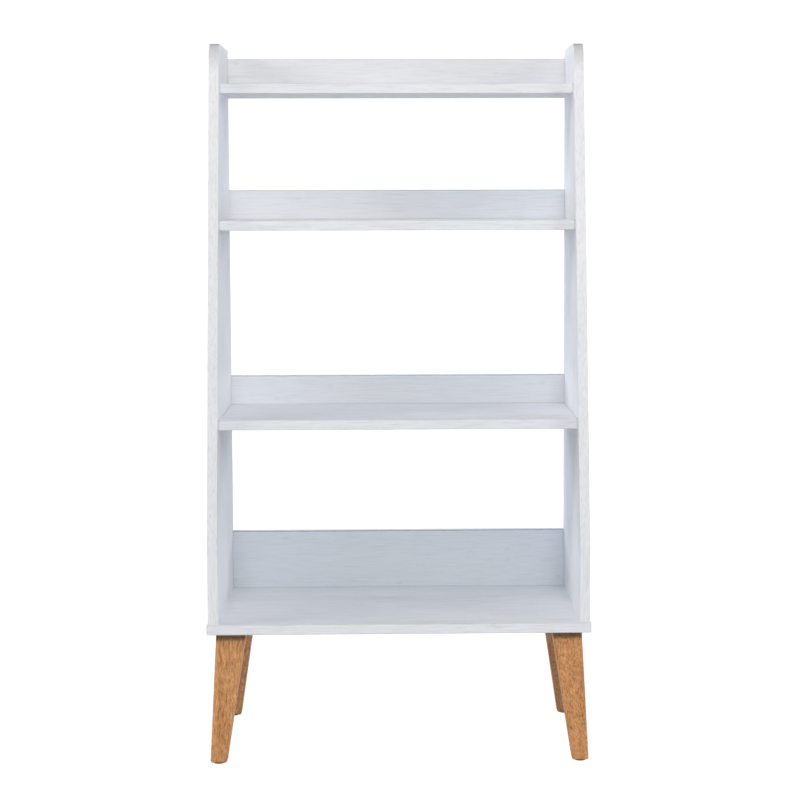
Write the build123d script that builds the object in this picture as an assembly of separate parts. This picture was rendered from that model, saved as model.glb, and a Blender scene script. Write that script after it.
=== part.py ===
from build123d import *

import os
from collections import defaultdict

# Free-standing open bookcase: two side panels that lean back from a vertical foot, three fixed shelves and a
# bottom board, a low rail at the back of each, and four splayed oak legs.
# Millimetres. +X right, +Y to the back, +Z up. The origin is on the floor, under the middle of the object.

# ---- driving dimensions ----
board = 16.0                    # every panel, shelf and rail is cut from this board
carcass_width = 600.0           # over the outer faces of the two sides
base_overhang = 2.0             # bottom board past the sides, left, right and front
side_depth = 345.0              # side panel at its foot
side_top_depth = 193.0          # side panel at its top, before the corner is rounded
straight_rise = 123.0           # vertical stretch of the front edge above the bottom board
top_corner_radius = 30.0
leg_height = 206.0              # floor to the underside of the bottom board
clear_heights = (300.0, 298.0, 203.0)   # between bottom board, middle, upper and top shelf
side_above_top_shelf = 64.0
shelf_recess = 24.0             # shelf front behind the side's front edge, at the shelf's mid-height
shelf_rail_height = 49.0
base_rail_height = 98.0
board_arris = 0.8               # softened edges of the boards

leg_top_width = 47.0
leg_foot_width = 26.0
leg_splay_x = 20.5              # outwards, over the leg's height
leg_splay_y = 28.0              # to the front or to the back, over the leg's height
leg_top_inset_x = 37.0          # leg's centre from the bottom board's end
leg_top_inset_y = 40.0          # leg's centre from the bottom board's front or back edge
leg_arris = 4.0
glide_thickness = 2.0
glide_radius = 10.0

# ---- fittings ----
clearance = 0.1                 # radial, between a fitting and its hole
cam_radius = 7.4
cam_height = 12.0
cam_bore_depth = 12.5
cam_backset = 24.0              # cam's centre from the board's end
cam_bolt_thread = 11.0          # length screwed into the side panel
cam_bolt_shank_radius = 3.5
cam_bolt_bore_depth = 28.0
dowel_radius = 4.0
dowel_in_face = 10.0            # part of a dowel that sits in a board's face
dowel_in_edge = 20.0            # part of a dowel that sits in a board's end or edge
screw_length = 48.0
hanger_in_board = 12.0
hanger_in_leg = 40.0
hanger_radius = 4.0
insert_radius = 6.0
insert_length = 12.5
leg_dowel_offset = 14.0         # locating dowel from the hanger bolt, towards the middle
leg_dowel_reach = 12.0          # each way from the joint

# ---- derived places ----
inner_x = carcass_width / 2 - board
side_middle_x = carcass_width / 2 - board / 2
base_width = carcass_width + 2 * base_overhang
base_depth = side_depth + base_overhang
base_front = -base_depth / 2
back = base_depth / 2
side_front = base_front + base_overhang
base_top = leg_height + board
middle_top = base_top + clear_heights[0] + board
upper_top = middle_top + clear_heights[1] + board
top_top = upper_top + clear_heights[2] + board
side_top = top_top + side_above_top_shelf
slant_start = base_top + straight_rise
side_top_front = back - side_top_depth

drills = defaultdict(list)      # board or leg name: holes to cut in it
fittings = defaultdict(list)    # fitting name: its separate solids
nodes = {}                      # node name: its finished shape


def front_edge_at(height):
    """Y of the side panels' front edge at a height."""
    if height <= slant_start:
        return side_front
    share = (height - slant_start) / (side_top - slant_start)
    return side_front + share * (side_top_front - side_front)


def box_between(low, high):
    """A box from its lowest to its highest corner."""
    size = [b - a for a, b in zip(low, high)]
    middle = [(a + b) / 2 for a, b in zip(low, high)]
    return Pos(*middle) * Box(*size)


def turned(profile):
    """A solid of revolution about Z from (radius, height) points that run from the axis back to the axis."""
    outline = make_face(Polyline(*profile, close=True))
    return revolve(Plane.XZ * outline, Axis.Z)


def placed(solid, origin, direction, x_direction=None):
    """The solid, made about +Z at the origin, moved to a point and turned to face a direction."""
    return Plane(origin=origin, x_dir=x_direction, z_dir=direction).location * solid


def rod(radius, start, direction, length):
    """A cylinder from a point, along a direction."""
    return placed(Pos(0, 0, length / 2) * Cylinder(radius, length), start, direction)


def threaded_points(root, crest, start, pitch, turns):
    """Ring ridges along a shank: (radius, height) points, with the height going up."""
    points = []
    for turn in range(turns):
        height = start + turn * pitch
        points += [(root, height), (crest, height + pitch / 2)]
    points.append((root, start + turns * pitch))
    return points


# ---- fittings, each made about +Z ----
def cam_bolt():
    """Screws into the side panel above z = 0. Its head, below, is caught by the cam."""
    head_end = -(cam_backset + 2.5)
    head_start = -(cam_backset - 2.0)
    neck_start = -(cam_backset - cam_radius - 0.6)
    profile = [
        (0, head_end),
        (2.6, head_end),
        (cam_bolt_shank_radius, head_end + 1.0),
        (cam_bolt_shank_radius, head_start),
        (2.2, head_start),
        (2.2, neck_start),
        (cam_bolt_shank_radius, neck_start),
        (cam_bolt_shank_radius, -0.2),
    ]
    profile += threaded_points(2.2, 3.0, 0.0, 2.0, 5)
    profile += [(1.6, cam_bolt_thread), (0, cam_bolt_thread)]
    return turned(profile)


def cam_lock():
    """Eccentric cam. Its outer face is at z = 0 and its body below. The bolt comes in along +X."""
    body = Pos(0, 0, -cam_height / 2) * Cylinder(cam_radius, cam_height)
    body = chamfer(body.edges().group_by(Axis.Z)[-1], 0.4)
    axis_depth = -(board / 2 - 0.3)
    claw = rod(2.6, (cam_radius + 1.0, 0, axis_depth), (-1, 0, 0), cam_radius + 1.0)
    pocket = rod(3.9, (2.3, 0, axis_depth), (-1, 0, 0), 5.3)
    cross = Pos(0, 0, -0.75) * (Box(9.0, 1.3, 1.5) + Box(1.3, 9.0, 1.5))
    return body - claw - pocket - cross


def dowel(in_edge, in_face):
    """Beech dowel with chamfered ends: in_edge below z = 0 and in_face above it."""
    length = in_edge + in_face
    pin = Pos(0, 0, (in_face - in_edge) / 2) * Cylinder(dowel_radius, length)
    return chamfer(pin.edges().filter_by(GeomType.CIRCLE), 0.8)


def carcass_screw():
    """Countersunk panel screw: its head at z = 0.4, and its point up in the edge of the board above."""
    profile = [(0, 2.6), (1.6, 2.6), (2.4, 0.4), (4.9, 0.4), (4.9, 1.0), (3.4, 3.6), (3.4, board - 1.0)]
    profile += threaded_points(2.5, 3.2, board - 1.0, 3.0, 10)
    profile += [(1.4, screw_length), (0, screw_length)]
    return turned(profile)


def hanger_bolt():
    """Machine thread above z = 0, wood thread below it."""
    profile = [(0, -hanger_in_leg), (1.0, -hanger_in_leg)]
    profile += threaded_points(3.0, hanger_radius, -hanger_in_leg + 3.0, 3.0, 9)
    profile += [(hanger_radius, -8.0), (hanger_radius, -1.0)]
    profile += threaded_points(3.5, hanger_radius, 0.0, 1.25, 9)
    profile += [(2.8, hanger_in_board), (0, hanger_in_board)]
    return turned(profile)


def insert_nut():
    """Threaded insert, pressed into the underside of the bottom board from z = 0 up."""
    body = Pos(0, 0, insert_length / 2) * Cylinder(insert_radius, insert_length)
    bore = Pos(0, 0, insert_length / 2) * Cylinder(hanger_radius + clearance, insert_length + 2)
    barbs = None
    for height in (3.0, 6.0, 9.0):
        ring = Pos(0, 0, height) * (Cylinder(insert_radius + 1, 0.8) - Cylinder(insert_radius - 0.5, 0.8))
        barbs = ring if barbs is None else barbs + ring
    return body - bore - barbs


def foot_glide():
    """Nail-in glide: a domed disc with its pin up in the foot."""
    profile = [(0, 0), (glide_radius - 1.5, 0), (glide_radius, 1.0), (glide_radius, glide_thickness),
               (1.1, glide_thickness), (1.1, 12.0), (0, 14.0)]
    return turned(profile)


# ---- joints: each adds its fittings and drills its holes ----
def cam_joint(board_name, y, z, cam_direction):
    """A bolt in each side panel and a cam in each end of a board. The cams open in cam_direction."""
    for sign, side_name in ((-1, "side_panel_left"), (1, "side_panel_right")):
        out = (sign, 0, 0)
        end = Vector(sign * inner_x, y, z)
        fittings[board_name + "_cam_bolts"].append(placed(cam_bolt(), end, out))
        drills[side_name].append(rod(3.0 + clearance, end, out, cam_bolt_thread + 0.5))
        drills[board_name].append(
            rod(4.0, end, (-sign, 0, 0), cam_bolt_bore_depth))
        face = Vector(sign * (inner_x - cam_backset), y, z) + Vector(*cam_direction) * (board / 2)
        cam_face = face - Vector(*cam_direction) * 0.3
        fittings[board_name + "_cam_locks"].append(placed(cam_lock(), cam_face, cam_direction, out))
        drills[board_name].append(
            rod(cam_radius + clearance, face, Vector(*cam_direction) * -1, cam_bore_depth))


def dowel_joint(edge_board, face_board, node_name, point, direction):
    """A dowel from the edge or end of one board into the face of another."""
    back_way = Vector(*direction) * -1
    fittings[node_name].append(placed(dowel(dowel_in_edge, dowel_in_face), point, direction))
    drills[face_board].append(rod(dowel_radius + clearance, point, direction, dowel_in_face + 0.5))
    drills[edge_board].append(rod(dowel_radius + clearance, point, back_way, dowel_in_edge + 0.5))


def end_dowels(board_name, y, z):
    """A dowel from each end of a board into the side panels."""
    for sign, side_name in ((-1, "side_panel_left"), (1, "side_panel_right")):
        dowel_joint(board_name, side_name, board_name + "_dowels", (sign * inner_x, y, z), (sign, 0, 0))


def screw_joint(upper_board, x, y):
    """A screw up through the bottom board into the edge of the board that stands on it."""
    fittings["base_screws"].append(Pos(x, y, leg_height) * carcass_screw())
    countersink = Pos(x, y, leg_height) * turned(
        [(0, 0), (5.1, 0), (5.1, 1.2), (3.5, 3.8), (3.5, board), (0, board)])
    drills["bottom_board"].append(countersink)
    drills[upper_board].append(rod(3.3, (x, y, base_top), (0, 0, 1), screw_length - board + 0.5))


# ---- boards ----
def side_panel(sign):
    """A side panel: vertical at the foot, then leaning back to a rounded top corner."""
    outline = Polyline(
        (side_front, base_top),
        (side_front, slant_start),
        (side_top_front, side_top),
        (back, side_top),
        (back, base_top),
        close=True,
    )
    face = make_face(outline)
    top_front = face.vertices().group_by(Axis.Y)[-1].sort_by(Axis.X)[0]
    face = fillet(top_front, top_corner_radius)
    lying = extrude(face, board)
    panel = placed(lying, (-board / 2, 0, 0), (1, 0, 0), (0, 1, 0))
    big_faces = panel.faces().sort_by(Axis.X)
    rims = big_faces[0].edges() + big_faces[-1].edges()
    rims = rims.filter_by(lambda edge: edge.center().Z > base_top + 1)
    return Pos(sign * side_middle_x, 0, 0) * fillet(rims, board_arris)


def shelf(top, front):
    """A shelf between the sides, with its front arrises softened."""
    blank = box_between((-inner_x, front, top - board), (inner_x, back, top))
    long_edges = blank.edges().filter_by(Axis.X).sort_by(Axis.Y)[:2]
    return fillet(long_edges, board_arris)


def rail(bottom, height):
    """A back rail between the sides, flush with their back edges, with its top arrises softened."""
    blank = box_between((-inner_x, back - board, bottom), (inner_x, back, bottom + height))
    top_edges = blank.edges().filter_by(Axis.X).sort_by(Axis.Z)[-2:]
    return fillet(top_edges, board_arris)


def bottom_board():
    """The board that carries the sides and takes the legs, with all its arrises softened."""
    blank = box_between(
        (-base_width / 2, base_front, leg_height), (base_width / 2, back, base_top))
    return fillet(blank.edges(), board_arris)


# ---- legs ----
def leg(sign_x, sign_y):
    """A square leg, tapered and splayed, from its glide to the underside of the bottom board."""
    top_x = base_width / 2 - leg_top_inset_x
    top_y = base_depth / 2 - leg_top_inset_y
    head = Pos(sign_x * top_x, sign_y * top_y, leg_height) * Rectangle(leg_top_width, leg_top_width)
    foot_x, foot_y = top_x + leg_splay_x, top_y + leg_splay_y
    foot = Pos(sign_x * foot_x, sign_y * foot_y, glide_thickness) * Rectangle(leg_foot_width, leg_foot_width)
    shaft = loft(Sketch() + [foot, head], ruled=True)
    long_edges = shaft.edges().filter_by(lambda edge: edge.length > leg_height / 2)
    shaft = fillet(long_edges, leg_arris)
    return fillet(shaft.edges().group_by(Axis.Z)[0], leg_arris - 0.5)


def add_leg(name, sign_x, sign_y):
    """One leg with its hanger bolt, insert, locating dowel and glide."""
    x = sign_x * (base_width / 2 - leg_top_inset_x)
    y = sign_y * (base_depth / 2 - leg_top_inset_y)
    joint = (x, y, leg_height)
    up, down = (0, 0, 1), (0, 0, -1)
    fittings["leg_hanger_bolts"].append(Pos(*joint) * hanger_bolt())
    fittings["leg_insert_nuts"].append(Pos(*joint) * insert_nut())
    drills["bottom_board"].append(rod(insert_radius + clearance, joint, up, insert_length + 0.5))
    drills[name].append(rod(hanger_radius + clearance, joint, down, hanger_in_leg + 1.0))

    pin = (x, y - sign_y * leg_dowel_offset, leg_height)
    fittings["leg_dowels"].append(Pos(*pin) * dowel(leg_dowel_reach, leg_dowel_reach))
    drills["bottom_board"].append(rod(dowel_radius + clearance, pin, up, leg_dowel_reach + 0.5))
    drills[name].append(rod(dowel_radius + clearance, pin, down, leg_dowel_reach + 0.5))

    foot = (x + sign_x * leg_splay_x, y + sign_y * leg_splay_y, 0)
    fittings["foot_glides"].append(Pos(*foot) * foot_glide())
    drills[name].append(rod(1.1 + clearance, foot, up, 14.5))
    nodes[name] = leg(sign_x, sign_y)


# ---- assembly ----
nodes["side_panel_left"] = side_panel(-1)
nodes["side_panel_right"] = side_panel(1)
nodes["bottom_board"] = bottom_board()

rail_middle_y = back - board / 2
for shelf_name, rail_name, top in (
    ("middle_shelf", "middle_back_rail", middle_top),
    ("upper_shelf", "upper_back_rail", upper_top),
    ("top_shelf", "top_back_rail", top_top),
):
    shelf_front = front_edge_at(top - board / 2) + shelf_recess
    nodes[shelf_name] = shelf(top, shelf_front)
    nodes[rail_name] = rail(top, shelf_rail_height)
    middle_z = top - board / 2
    for cam_y, dowel_y in ((shelf_front + 40, shelf_front + 68), (back - 40, back - 68)):
        cam_joint(shelf_name, cam_y, middle_z, (0, 0, -1))
        end_dowels(shelf_name, dowel_y, middle_z)
    cam_joint(rail_name, rail_middle_y, top + 15, (0, 1, 0))
    end_dowels(rail_name, rail_middle_y, top + 36)
    for x in (-150, 150):
        dowel_joint(rail_name, shelf_name, rail_name + "_dowels", (x, rail_middle_y, top), (0, 0, -1))

nodes["lower_back_rail"] = rail(base_top, base_rail_height)
cam_joint("lower_back_rail", rail_middle_y, base_top + base_rail_height / 2, (0, 1, 0))
for height in (22, 76):
    end_dowels("lower_back_rail", rail_middle_y, base_top + height)
for x in (-150, 150):
    screw_joint("lower_back_rail", x, rail_middle_y)

for sign, side_name in ((-1, "side_panel_left"), (1, "side_panel_right")):
    for y in (-90, 0, 90):
        screw_joint(side_name, sign * side_middle_x, y)
    for y in (-130, 130):
        dowel_joint(side_name, "bottom_board", "base_dowels", (sign * side_middle_x, y, base_top), (0, 0, -1))

add_leg("leg_front_left", -1, -1)
add_leg("leg_front_right", 1, -1)
add_leg("leg_rear_left", -1, 1)
add_leg("leg_rear_right", 1, 1)

for name, holes in drills.items():
    nodes[name] = nodes[name] - holes
for name, solids in fittings.items():
    nodes[name] = Compound(children=[solid.solid() for solid in solids])

# ---- one STEP per node ----
os.makedirs("parts", exist_ok=True)
for name, shape in nodes.items():
    single = shape.solids()
    export_step(single[0] if len(single) == 1 else Compound(children=single), f"parts/{name}.step")
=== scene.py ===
"""The looks of the bookcase: whitewashed boards, oiled oak legs and metal fittings, in a pale studio."""
import math

import bpy
from mathutils import Matrix, Vector


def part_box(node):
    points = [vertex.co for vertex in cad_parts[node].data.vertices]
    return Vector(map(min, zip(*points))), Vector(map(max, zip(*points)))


# ---- studio, in metres and degrees ----
CAMERA_PLACE = (-0.0037, -3.5643, 0.8898)
CAMERA_YAW = -1.46
CAMERA_PITCH = -5.31
CAMERA_ROLL = -0.14
CAMERA_LENS = 98.60
CAMERA_SHIFT = -0.0644          # the picture is cropped a little off the lens's centre
SENSOR_WIDTH = 36.0
FLOOR_SIZE = 60.0
TARGET = Vector((0.0, 0.0, 0.7))
# name, azimuth (0 in front, positive to the right), elevation, distance to the target, side, watts, colour
SOFTBOXES = (
    ("front_high", 0, 27, 4.4, 1.6, 55.0, (0.79, 0.91, 1.0)),
    ("front_top", 0, 47, 2.48, 1.05, 11.5, (1.0, 0.78, 0.62)),
    ("left_front", -72, 25, 2.6, 0.5, 16.5, (1.0, 0.92, 0.83)),
    ("right_front", 63, 25, 2.6, 0.5, 8.0, (0.97, 1.0, 0.93)),
    ("right_front_low", 60, 7, 2.6, 0.6, 7.5, (1.0, 0.90, 1.0)),
    ("left_side", -105, 30, 2.6, 0.8, 22.5, (0.75, 0.77, 1.0)),
    ("right_side", 105, 30, 2.6, 0.8, 14.0, (0.95, 0.96, 1.0)),
    ("left_back_high", -125, 35, 2.6, 0.5, 6.5, (0.78, 1.0, 0.90)),
    ("left_back_low", -125, 8, 2.6, 0.6, 22.0, (0.84, 0.87, 1.0)),
    ("right_back_low", 125, 8, 2.6, 0.6, 15.5, (0.85, 0.89, 1.0)),
    ("back", 180, 30, 2.6, 0.6, 4.5, (0.40, 0.62, 1.0)),
)
SKY_STRENGTH = 0.44
FLOOR_GLOW = 0.07
BACK_LIGHTS = ("left_back_high", "left_back_low")   # they don't light the left side panel

# ---- which board has which grain, and how its pattern is shifted ----
UPRIGHT_BOARDS = ("side_panel_left", "side_panel_right")
LYING_BOARDS = (
    "bottom_board", "middle_shelf", "upper_shelf", "top_shelf",
    "lower_back_rail", "middle_back_rail", "upper_back_rail", "top_back_rail",
)
# how dark the painted shade line is along each rail's top edge, whose top face looks up, away from the light
RAIL_TOP_SHADE = {
    "lower_back_rail": 0.48, "middle_back_rail": 0.30, "upper_back_rail": 0.24, "top_back_rail": 0.18,
}
# how light each leg's oak is (the rear legs' lower values are painted shade, as they stand in shade), how
# many degrees its ray flecks lean, and how many fibres there are per metre
LEGS = {
    "leg_front_left": (0.98, -6.0, 60.0),
    "leg_front_right": (1.0, 38.0, 150.0),
    "leg_rear_left": (0.80, -6.0, 60.0),
    "leg_rear_right": (0.66, 38.0, 150.0),
}
WHITEWASH = ((0.785, 0.806, 0.838), (0.806, 0.824, 0.852), (0.826, 0.838, 0.857))    # dark to light
OAK = ((0.530, 0.243, 0.086), (0.612, 0.291, 0.106), (0.694, 0.349, 0.138))          # dark to light
SIDE_SLANT_START = 0.345        # metres: where the side panels' front edge starts to lean back
SIDE_TOP_DEPTH = 0.193
ALONG_X, ALONG_Y, ALONG_Z = (1.0, 0.0, 0.0), (0.0, 1.0, 0.0), (0.0, 0.0, 1.0)
PATTERN_STEP = 1.37             # metres between one board's place in the pattern and the next


# ---- small helpers for shader nodes ----
def new_material(name):
    """An empty principled material: the material, its node tree and its shader."""
    material = bpy.data.materials.new(name)
    material.use_nodes = True
    return material, material.node_tree, material.node_tree.nodes["Principled BSDF"]


def plug(tree, socket, value):
    """Links an output to a socket, or sets the socket to a plain value."""
    if isinstance(value, bpy.types.NodeSocket):
        tree.links.new(value, socket)
    else:
        socket.default_value = value


def object_place(tree):
    """The shaded point in the object's own metres."""
    return tree.nodes.new("ShaderNodeTexCoord").outputs["Object"]


def stretched(tree, axis, along, across, shift, lean=0.0):
    """Coordinates for a pattern drawn out along one axis: cycles per metre along it and across it.

    The lean, in degrees, first turns the pattern about Y.
    """
    vector = object_place(tree)
    if lean:
        turn = tree.nodes.new("ShaderNodeVectorRotate")
        turn.rotation_type = "Y_AXIS"
        turn.inputs["Angle"].default_value = math.radians(lean)
        tree.links.new(vector, turn.inputs["Vector"])
        vector = turn.outputs["Vector"]
    mapping = tree.nodes.new("ShaderNodeMapping")
    scale = [across, across, across]
    scale["XYZ".index(axis)] = along
    mapping.inputs["Scale"].default_value = scale
    mapping.inputs["Location"].default_value = (shift * along, shift * 7.1, shift * 3.3)
    tree.links.new(vector, mapping.inputs["Vector"])
    return mapping.outputs["Vector"]


def noise(tree, vector, detail=2.0, roughness=0.5, distortion=0.0, scale=1.0):
    """Smooth noise, about 0 to 1."""
    texture = tree.nodes.new("ShaderNodeTexNoise")
    tree.links.new(vector, texture.inputs["Vector"])
    texture.inputs["Scale"].default_value = scale
    texture.inputs["Detail"].default_value = detail
    texture.inputs["Roughness"].default_value = roughness
    texture.inputs["Distortion"].default_value = distortion
    return texture.outputs["Fac"]


def ramp(tree, value, *stops):
    """A colour ramp from (position, grey or colour) stops."""
    node = tree.nodes.new("ShaderNodeValToRGB")
    elements = node.color_ramp.elements
    while len(elements) < len(stops):
        elements.new(0.5)
    for element, (position, colour) in zip(elements, stops):
        element.position = position
        rgb = colour if isinstance(colour, tuple) else (colour, colour, colour)
        element.color = (*rgb, 1.0)
    tree.links.new(value, node.inputs["Fac"])
    return node.outputs["Color"]


def mixed(tree, factor, first, second, blend="MIX"):
    """Two colours mixed by a factor."""
    node = tree.nodes.new("ShaderNodeMix")
    node.data_type = "RGBA"
    node.blend_type = blend
    plug(tree, node.inputs["Factor"], factor)
    plug(tree, node.inputs[6], first)
    plug(tree, node.inputs[7], second)
    return node.outputs[2]


def arithmetic(tree, operation, first, second=0.0, third=0.5):
    """One arithmetic operation on two values, or three for MULTIPLY_ADD."""
    node = tree.nodes.new("ShaderNodeMath")
    node.operation = operation
    for socket, value in zip(node.inputs, (first, second, third)):
        plug(tree, socket, value)
    return node.outputs["Value"]


def painted_edge_shade(tree, edges):
    """A factor of painted shade: narrow dark lines along straight edges, where boards meet and along their
    arrises.

    Each edge is (point, way, reach, depth): a point on it, the unit vector it runs along, how far its shade
    reaches in metres, and how dark it gets.
    """
    factor = 1.0
    place = object_place(tree)
    for point, way, reach, depth in edges:
        offset = tree.nodes.new("ShaderNodeVectorMath")
        offset.operation = "SUBTRACT"
        tree.links.new(place, offset.inputs[0])
        offset.inputs[1].default_value = point
        sideways = tree.nodes.new("ShaderNodeVectorMath")
        sideways.operation = "CROSS_PRODUCT"
        tree.links.new(offset.outputs["Vector"], sideways.inputs[0])
        sideways.inputs[1].default_value = way
        distance = tree.nodes.new("ShaderNodeVectorMath")
        distance.operation = "LENGTH"
        tree.links.new(sideways.outputs["Vector"], distance.inputs[0])
        shade = faded(tree, distance.outputs["Value"], 0.4 * reach, reach, 1.0 - depth)
        factor = arithmetic(tree, "MULTIPLY", shade, factor)
    return factor


def faded(tree, value, start, end, least):
    """A factor that rises smoothly from its least value, at start, to 1 at end."""
    node = tree.nodes.new("ShaderNodeMapRange")
    node.interpolation_type = "SMOOTHSTEP"
    tree.links.new(value, node.inputs["Value"])
    node.inputs["From Min"].default_value = start
    node.inputs["From Max"].default_value = end
    node.inputs["To Min"].default_value = least
    node.inputs["To Max"].default_value = 1.0
    return node.outputs["Result"]


def painted_shade_below_top(tree, height, reach, depth):
    """A factor of painted shade that darkens the last stretch below a height."""
    split = tree.nodes.new("ShaderNodeSeparateXYZ")
    tree.links.new(object_place(tree), split.inputs["Vector"])
    below = arithmetic(tree, "SUBTRACT", height, split.outputs["Z"])
    return faded(tree, below, 0.5 * reach, reach, 1.0 - depth)


def band_only(tree, shade):
    """Keeps a painted shade to a panel's edge band, off the faces that look left and right."""
    split = tree.nodes.new("ShaderNodeSeparateXYZ")
    tree.links.new(tree.nodes.new("ShaderNodeNewGeometry").outputs["Normal"], split.inputs["Vector"])
    sideways = arithmetic(tree, "GREATER_THAN", arithmetic(tree, "ABSOLUTE", split.outputs["X"]), 0.5)
    return arithmetic(tree, "MAXIMUM", shade, sideways)


def filler_marks(tree, axis, shift):
    """Small sparse ovals, where a knot was filled before staining.

    The value is 1 in an oval's rim, 0.4 inside it and 0 outside.
    """
    split = tree.nodes.new("ShaderNodeSeparateXYZ")
    tree.links.new(object_place(tree), split.inputs["Vector"])
    lying = axis == "X"
    along = split.outputs["X" if lying else "Z"]
    across = arithmetic(tree, "ADD", split.outputs["Y"], split.outputs["Z" if lying else "X"])
    flat = tree.nodes.new("ShaderNodeCombineXYZ")
    tree.links.new(arithmetic(tree, "MULTIPLY_ADD", along, 11.0, shift), flat.inputs["X"])
    tree.links.new(arithmetic(tree, "MULTIPLY_ADD", across, 21.0, shift), flat.inputs["Y"])
    cells = tree.nodes.new("ShaderNodeTexVoronoi")
    cells.voronoi_dimensions = "2D"
    cells.inputs["Scale"].default_value = 1.0
    tree.links.new(flat.outputs["Vector"], cells.inputs["Vector"])
    distance = cells.outputs["Distance"]
    oval = ramp(tree, distance, (0.0, 0.4), (0.024, 0.4), (0.036, 1.0), (0.046, 1.0), (0.060, 0.0))
    chance = tree.nodes.new("ShaderNodeSeparateColor")
    tree.links.new(cells.outputs["Color"], chance.inputs["Color"])
    chosen = arithmetic(tree, "GREATER_THAN", chance.outputs["Red"], 0.72)
    return arithmetic(tree, "MULTIPLY", oval, chosen)


def bump(tree, shader, height, strength, distance):
    """Feeds a height to the shader as bump, with the distance in metres."""
    node = tree.nodes.new("ShaderNodeBump")
    node.inputs["Strength"].default_value = strength
    node.inputs["Distance"].default_value = distance
    tree.links.new(height, node.inputs["Height"])
    tree.links.new(node.outputs["Normal"], shader.inputs["Normal"])


# ---- materials ----
def whitewashed(name, axis, order, grain, edges, band=()):
    """White stain over open-grained veneer, with the grain along the axis and pores showing grey through.

    The grain, from 0 to 1, says how strongly the fine streaks and pores show. The edges give painted shade
    lines along edges and joints, and the band gives painted shade that stays on a panel's edge band.
    """
    material, tree, shader = new_material(name)
    shift = order * PATTERN_STEP

    tone = noise(tree, stretched(tree, axis, 2.4, 16.0, shift), detail=3.0)
    colour = ramp(tree, tone, *zip((0.30, 0.52, 0.70), WHITEWASH))

    warmth = noise(tree, stretched(tree, axis, 3.2, 75.0, shift), detail=3.0, roughness=0.6)
    cool, warm = (0.992, 0.998, 1.006), (1.003, 0.995, 0.984)
    colour = mixed(tree, 1.0, colour, ramp(tree, warmth, (0.38, cool), (0.62, warm)), "MULTIPLY")

    streak = noise(tree, stretched(tree, axis, 24.0, 460.0, shift), detail=4.0, roughness=0.62)
    streaks = ramp(tree, streak, (0.34, (0.885, 0.872, 0.862)), (0.49, (0.990, 0.988, 0.985)), (0.66, 1.022))
    colour = mixed(tree, grain, colour, streaks, "MULTIPLY")

    figure = noise(tree, stretched(tree, axis, 1.1, 26.0, shift), detail=2.0, distortion=0.6)
    rings = arithmetic(tree, "SINE", arithmetic(tree, "MULTIPLY", figure, 95.0))
    ring_place = arithmetic(tree, "MULTIPLY_ADD", rings, 0.5)
    ring_tone = ramp(tree, ring_place, (0.10, 0.965), (0.45, 1.0), (1.0, 1.0))
    colour = mixed(tree, 0.5 * grain, colour, ring_tone, "MULTIPLY")

    pore = noise(tree, stretched(tree, axis, 42.0, 1500.0, shift), detail=2.0, roughness=0.55)
    patches = noise(tree, stretched(tree, axis, 3.0, 60.0, shift), detail=1.0)
    pore_depth = arithmetic(tree, "MULTIPLY", ramp(tree, pore, (0.60, 0.0), (0.72, 1.0)),
                            ramp(tree, patches, (0.40, 0.15), (0.62, 1.0)))
    pore_strength = arithmetic(tree, "MULTIPLY", pore_depth, 0.42 * grain)
    colour = mixed(tree, pore_strength, colour, (0.50, 0.49, 0.48, 1.0))

    marks = filler_marks(tree, axis, shift)
    colour = mixed(tree, arithmetic(tree, "MULTIPLY", marks, 0.28), colour, (0.56, 0.58, 0.60, 1.0))
    # painted shade: dark lines along edges and joints, and on the side panels' rounded top corners
    colour = mixed(tree, 1.0, colour, painted_edge_shade(tree, edges), "MULTIPLY")
    if band:
        colour = mixed(tree, 1.0, colour, band_only(tree, painted_edge_shade(tree, band)), "MULTIPLY")

    tree.links.new(colour, shader.inputs["Base Color"])
    gloss = ramp(tree, streak, (0.3, 0.56), (0.7, 0.46))
    tree.links.new(gloss, shader.inputs["Roughness"])
    shader.inputs["Specular IOR Level"].default_value = 0.35
    relief = arithmetic(tree, "SUBTRACT", arithmetic(tree, "MULTIPLY", streak, 0.6), pore_depth)
    bump(tree, shader, relief, 0.35, 0.0002)
    return material


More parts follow.
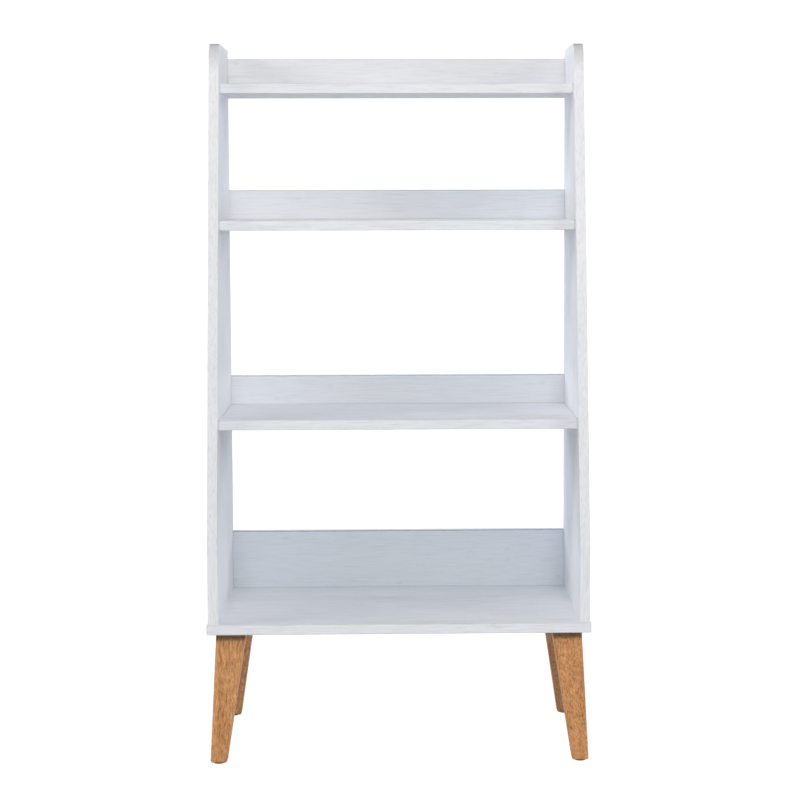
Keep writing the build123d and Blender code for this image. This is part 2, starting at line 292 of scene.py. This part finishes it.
def oiled_oak(name, order, tone, lean, rate, top):
    """Oiled oak with upright grain: broad warm bands, fine fibres, leaning ray flecks and short open pores.

    The rate is how many fibres and flecks there are per metre along the grain, so a low one draws them out.
    The colour is darker just below the top, a painted shadow under the board that the leg meets. A low tone,
    as on the rear legs, is painted shade.
    """
    material, tree, shader = new_material(name)
    shift = order * PATTERN_STEP

    band = noise(tree, stretched(tree, "Z", 5.0, 75.0, shift), detail=3.0, roughness=0.55, distortion=0.3)
    shades = [tuple(tone * value for value in colour) for colour in OAK]
    colour = ramp(tree, band, *zip((0.30, 0.50, 0.70), shades))

    fibre = noise(tree, stretched(tree, "Z", rate, 560.0, shift), detail=5.0, roughness=0.70)
    fibre_tones = ((0.54, 0.46, 0.40), (0.95, 0.93, 0.90), (1.20, 1.24, 1.30))
    fibres = ramp(tree, fibre, *zip((0.34, 0.48, 0.66), fibre_tones))
    colour = mixed(tree, 1.0, colour, fibres, "MULTIPLY")

    fleck_place = stretched(tree, "Z", rate, 420.0, shift, lean)
    fleck = noise(tree, fleck_place, detail=3.0, roughness=0.6, distortion=0.4)
    flecks = ramp(tree, fleck, (0.34, (0.78, 0.73, 0.70)), (0.52, 1.0), (0.68, (1.16, 1.18, 1.22)))
    colour = mixed(tree, 1.0, colour, flecks, "MULTIPLY")

    pore = noise(tree, stretched(tree, "Z", 110.0, 1300.0, shift), detail=2.0, roughness=0.5)
    pore_depth = ramp(tree, pore, (0.58, 0.0), (0.68, 1.0))
    colour = mixed(tree, arithmetic(tree, "MULTIPLY", pore_depth, 0.60), colour, (0.170, 0.080, 0.034, 1.0))

    # painted shadow at the top of the leg, under the board
    colour = mixed(tree, 1.0, colour, painted_shade_below_top(tree, top, reach=0.0150, depth=0.68), "MULTIPLY")

    tree.links.new(colour, shader.inputs["Base Color"])
    tree.links.new(ramp(tree, fibre, (0.3, 0.58), (0.7, 0.44)), shader.inputs["Roughness"])
    shader.inputs["Specular IOR Level"].default_value = 0.4
    relief = arithmetic(tree, "SUBTRACT", arithmetic(tree, "MULTIPLY", fibre, 0.5), pore_depth)
    bump(tree, shader, relief, 0.4, 0.0002)
    return material


def beech(name):
    """Raw beech dowel."""
    material, tree, shader = new_material(name)
    line = noise(tree, stretched(tree, "X", 40.0, 900.0, 0.0), detail=3.0)
    colour = ramp(tree, line, (0.3, (0.52, 0.36, 0.22)), (0.7, (0.70, 0.52, 0.34)))
    tree.links.new(colour, shader.inputs["Base Color"])
    shader.inputs["Roughness"].default_value = 0.7
    bump(tree, shader, line, 0.3, 0.0001)
    return material


def metal(name, dark, light, roughness):
    """A fitting's metal, with a fine uneven plating."""
    material, tree, shader = new_material(name)
    grain = noise(tree, stretched(tree, "Z", 900.0, 900.0, 0.0), detail=3.0)
    tree.links.new(ramp(tree, grain, (0.3, dark), (0.7, light)), shader.inputs["Base Color"])
    shader.inputs["Metallic"].default_value = 1.0
    tree.links.new(ramp(tree, grain, (0.3, roughness + 0.08), (0.7, roughness)), shader.inputs["Roughness"])
    bump(tree, shader, grain, 0.15, 0.00005)
    return material


def glide_plastic(name):
    """Dark moulded plastic with a fine texture."""
    material, tree, shader = new_material(name)
    grain = noise(tree, stretched(tree, "Z", 1400.0, 1400.0, 0.0), detail=2.0)
    colour = ramp(tree, grain, (0.3, (0.060, 0.038, 0.024)), (0.7, (0.085, 0.056, 0.036)))
    tree.links.new(colour, shader.inputs["Base Color"])
    shader.inputs["Roughness"].default_value = 0.55
    bump(tree, shader, grain, 0.2, 0.0001)
    return material


def front_edges(node, top, bottom, ends, reach):
    """The four edges of a lying board's front face, with how dark the painted shade line along each is, for
    the painted edge shade.
    """
    low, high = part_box(node)
    return [
        ((0.0, low[1], high[2]), ALONG_X, reach, top),
        ((0.0, low[1], low[2]), ALONG_X, reach, bottom),
        ((low[0], low[1], 0.0), ALONG_Z, reach, ends),
        ((high[0], low[1], 0.0), ALONG_Z, reach, ends),
    ]


def shelf_ends(node, depth, reach):
    """Painted shade in the two inner corners where a shelf's top face meets the side panels, for the painted
    edge shade.
    """
    low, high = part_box(node)
    return [((x, 0.0, high[2]), ALONG_Y, reach, depth) for x in (low[0], high[0])]


def side_edges(node):
    """For the painted edge shade: thin painted shade lines along a side panel's long front edges, then
    painted shade on its rounded top corner, which looks up, away from the light.
    """
    low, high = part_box(node)
    top_front = high[1] - SIDE_TOP_DEPTH
    slant = Vector((0.0, top_front - low[1], high[2] - SIDE_SLANT_START)).normalized()
    line_y = low[1] + 0.0018        # just behind the front, so that the line is on the panel's inner face
    reach, depth = 0.0020, 0.10
    edges = []
    for x in (low[0], high[0]):
        edges.append(((x, line_y, 0.0), ALONG_Z, reach, depth))
        edges.append(((x, line_y, SIDE_SLANT_START), tuple(slant), reach, depth))
    # painted shade on the rounded top corner, which looks up, away from the light
    corner = [
        ((0.0, top_front + 0.008, high[2]), ALONG_X, 0.052, 0.17),
        ((0.0, top_front + 0.022, high[2] + 0.002), ALONG_X, 0.018, 0.20),
    ]
    return edges, corner


def dress(frame):
    """Gives every CAD node its material."""
    nodes = frame["nodes"]
    chosen = {}
    for order, name in enumerate(UPRIGHT_BOARDS):
        chosen[name] = whitewashed("whitewash_" + name, "Z", order + 11, 0.85, *side_edges(name))
    for order, name in enumerate(LYING_BOARDS):
        grain = 0.9
        # painted shade lines along each board's front edges and where it meets the boards around it
        if name in RAIL_TOP_SHADE:
            depth = RAIL_TOP_SHADE[name]
            grain = 0.5
            edges = front_edges(name, top=depth, bottom=0.15, ends=0.09, reach=0.0019)
        elif name.endswith("_shelf"):
            edges = front_edges(name, top=0.10, bottom=0.14, ends=0.20, reach=0.0016)
            edges += shelf_ends(name, depth=0.25, reach=0.0018)
        else:
            edges = front_edges(name, top=0.12, bottom=0.20, ends=0.20, reach=0.0016)
        chosen[name] = whitewashed("whitewash_" + name, "X", order + 1, grain, edges)
    for order, (name, oak) in enumerate(LEGS.items()):
        chosen[name] = oiled_oak("oak_" + name, order + 21, *oak, top=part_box(name)[1][2])
    zinc = metal("cast_zinc", (0.52, 0.53, 0.55), (0.66, 0.67, 0.69), 0.42)
    steel = metal("plated_steel", (0.60, 0.60, 0.62), (0.74, 0.74, 0.76), 0.30)
    brass = metal("plain_brass", (0.60, 0.44, 0.20), (0.76, 0.58, 0.30), 0.34)
    raw_beech = beech("raw_beech")
    for name in nodes:
        if name.endswith("_cam_locks"):
            chosen[name] = zinc
        elif name.endswith("_dowels"):
            chosen[name] = raw_beech
        elif name.endswith(("_cam_bolts", "_screws", "_hanger_bolts")):
            chosen[name] = steel
    chosen["leg_insert_nuts"] = brass
    chosen["foot_glides"] = glide_plastic("glide_plastic")
    for name, piece in nodes.items():
        for slot in piece.material_slots:
            slot.material = chosen[name]


# ---- studio ----
def aim(light, target):
    """Turns an object's -Z axis to a point."""
    way = Vector(target) - light.location
    light.rotation_euler = way.to_track_quat("-Z", "Y").to_euler()


def softbox(name, azimuth, elevation, distance, side, watts, colour):
    """A square area light that looks at the target: the light."""
    data = bpy.data.lights.new(name, "AREA")
    data.shape = "SQUARE"
    data.size = side
    data.energy = watts
    data.color = colour
    light = bpy.data.objects.new(name, data)
    bpy.context.scene.collection.objects.link(light)
    turn, rise = math.radians(azimuth), math.radians(elevation)
    way = Vector((math.sin(turn) * math.cos(rise), -math.cos(turn) * math.cos(rise), math.sin(rise)))
    light.location = TARGET + distance * way
    light.visible_camera = False
    aim(light, TARGET)
    return light


def stage_piece(name, vertices, faces):
    """A mesh that is part of the stage, in matt white: its object, node tree and shader."""
    mesh = bpy.data.meshes.new(name)
    mesh.from_pydata(vertices, [], faces)
    piece = bpy.data.objects.new(name, mesh)
    bpy.context.scene.collection.objects.link(piece)
    material, tree, shader = new_material(name + "_paint")
    shader.inputs["Roughness"].default_value = 0.9
    shader.inputs["Specular IOR Level"].default_value = 0.0
    shader.inputs["Emission Color"].default_value = (1.0, 1.0, 1.0, 1.0)
    mesh.materials.append(material)
    return piece, tree, shader


def floor():
    """A plain pale floor that runs out to the horizon and throws light back up at the object."""
    half = FLOOR_SIZE / 2
    corners_around = [(-half, -half, 0), (half, -half, 0), (half, half, 0), (-half, half, 0)]
    piece, _, shader = stage_piece("floor", corners_around, [(0, 1, 2, 3)])
    shader.inputs["Base Color"].default_value = (0.8, 0.8, 0.8, 1.0)
    shader.inputs["Emission Strength"].default_value = FLOOR_GLOW
    piece.visible_camera = False


def white_surround():
    """The white ground and walls that the camera sees: they catch a faint shadow but light nothing."""
    half = FLOOR_SIZE / 2 - 1.0
    height = FLOOR_SIZE / 2
    ring = [(-half, -half), (half, -half), (half, half), (-half, half)]
    vertices = [(x, y, z) for z in (0.0, height) for x, y in ring]
    faces = [(0, 1, 2, 3)] + [(i, (i + 1) % 4, (i + 1) % 4 + 4, i + 4) for i in range(4)] + [(7, 6, 5, 4)]
    piece, tree, shader = stage_piece("white_surround", vertices, faces)
    shader.inputs["Base Color"].default_value = (0.2, 0.2, 0.2, 1.0)
    reach = tree.nodes.new("ShaderNodeVectorMath")
    reach.operation = "LENGTH"
    tree.links.new(object_place(tree), reach.inputs[0])
    glow = ramp(tree, reach.outputs["Value"], (0.40, 0.97), (0.90, 1.03))
    tree.links.new(glow, shader.inputs["Emission Strength"])
    for kind in ("diffuse", "glossy", "transmission", "volume_scatter", "shadow"):
        setattr(piece, "visible_" + kind, False)


def surroundings():
    """An even sky: white low down, and dim overhead."""
    world = bpy.data.worlds.new("studio")
    bpy.context.scene.world = world
    world.use_nodes = True
    tree = world.node_tree
    place = tree.nodes.new("ShaderNodeTexCoord")
    split = tree.nodes.new("ShaderNodeSeparateXYZ")
    tree.links.new(place.outputs["Generated"], split.inputs["Vector"])
    sky = ramp(tree, split.outputs["Z"], (0.0, 1.0), (0.42, 1.0), (0.66, 0.12))
    background = tree.nodes["Background"]
    tree.links.new(sky, background.inputs["Color"])
    background.inputs["Strength"].default_value = SKY_STRENGTH


def camera():
    """The camera: long lens, level with the upper shelves, tilted a little down."""
    data = bpy.data.cameras.new("camera")
    data.lens = CAMERA_LENS
    data.sensor_width = SENSOR_WIDTH
    data.shift_x = CAMERA_SHIFT
    data.dof.use_dof = False
    eye = bpy.data.objects.new("camera", data)
    bpy.context.scene.collection.objects.link(eye)
    turn = Matrix.Rotation(math.radians(CAMERA_YAW), 4, "Z")
    tilt = Matrix.Rotation(math.radians(90.0 + CAMERA_PITCH), 4, "X")
    roll = Matrix.Rotation(math.radians(CAMERA_ROLL), 4, "Z")
    eye.matrix_world = Matrix.Translation(CAMERA_PLACE) @ turn @ tilt @ roll
    bpy.context.scene.camera = eye


def lights(left_side):
    """All the softboxes. The back lights pass the left side panel by, or its outside would burn out."""
    passed_by = bpy.data.collections.new("not_lit_from_behind")
    passed_by.objects.link(left_side)
    passed_by.collection_objects[0].light_linking.link_state = "EXCLUDE"
    for box in SOFTBOXES:
        light = softbox(*box)
        if light.name in BACK_LIGHTS:
            light.light_linking.receiver_collection = passed_by


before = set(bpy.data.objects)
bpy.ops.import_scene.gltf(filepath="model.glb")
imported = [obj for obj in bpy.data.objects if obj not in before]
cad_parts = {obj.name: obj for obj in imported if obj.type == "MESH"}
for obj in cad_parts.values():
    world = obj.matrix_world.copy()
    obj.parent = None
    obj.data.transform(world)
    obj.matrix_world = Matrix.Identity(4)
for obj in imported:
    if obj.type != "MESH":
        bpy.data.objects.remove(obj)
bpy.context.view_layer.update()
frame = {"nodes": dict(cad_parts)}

bpy.context.scene.view_settings.view_transform = "Standard"
camera()
dress(frame)
floor()
white_surround()
surroundings()
lights(frame["nodes"]["side_panel_left"])
